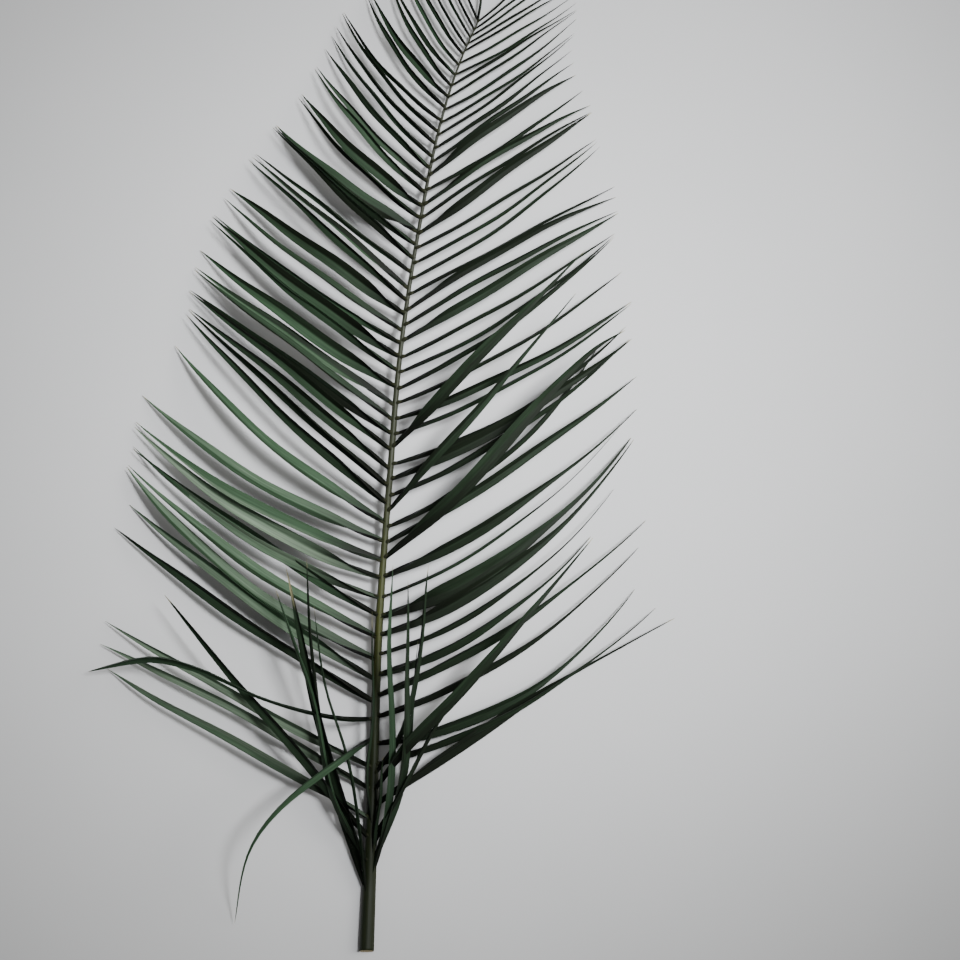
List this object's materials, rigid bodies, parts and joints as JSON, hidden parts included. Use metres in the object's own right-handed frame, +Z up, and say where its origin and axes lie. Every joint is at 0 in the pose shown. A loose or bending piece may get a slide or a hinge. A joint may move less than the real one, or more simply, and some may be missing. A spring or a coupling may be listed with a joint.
{
  "type": "preserved palm frond",
  "caption": "Cut and preserved feather palm frond lying flat: one long tapering stem with two rows of folded strap leaflets and a tangle of upright ones at its foot.",
  "frame": {"origin": "middle of the frond's outline, on the surface that it lies on", "axes": "+Y from the cut end of the stem to the apex, +X to the right seen from above, +Z up from the surface"},
  "size_m": [0.588, 1.03, 0.096],
  "materials": {
    "frond": "glycerine-preserved leaf, dark green, waxy semi-matt, olive-brown stem"
  },
  "bodies": {
    "root": {"frond": "frond"}
  },
  "joints": []
}
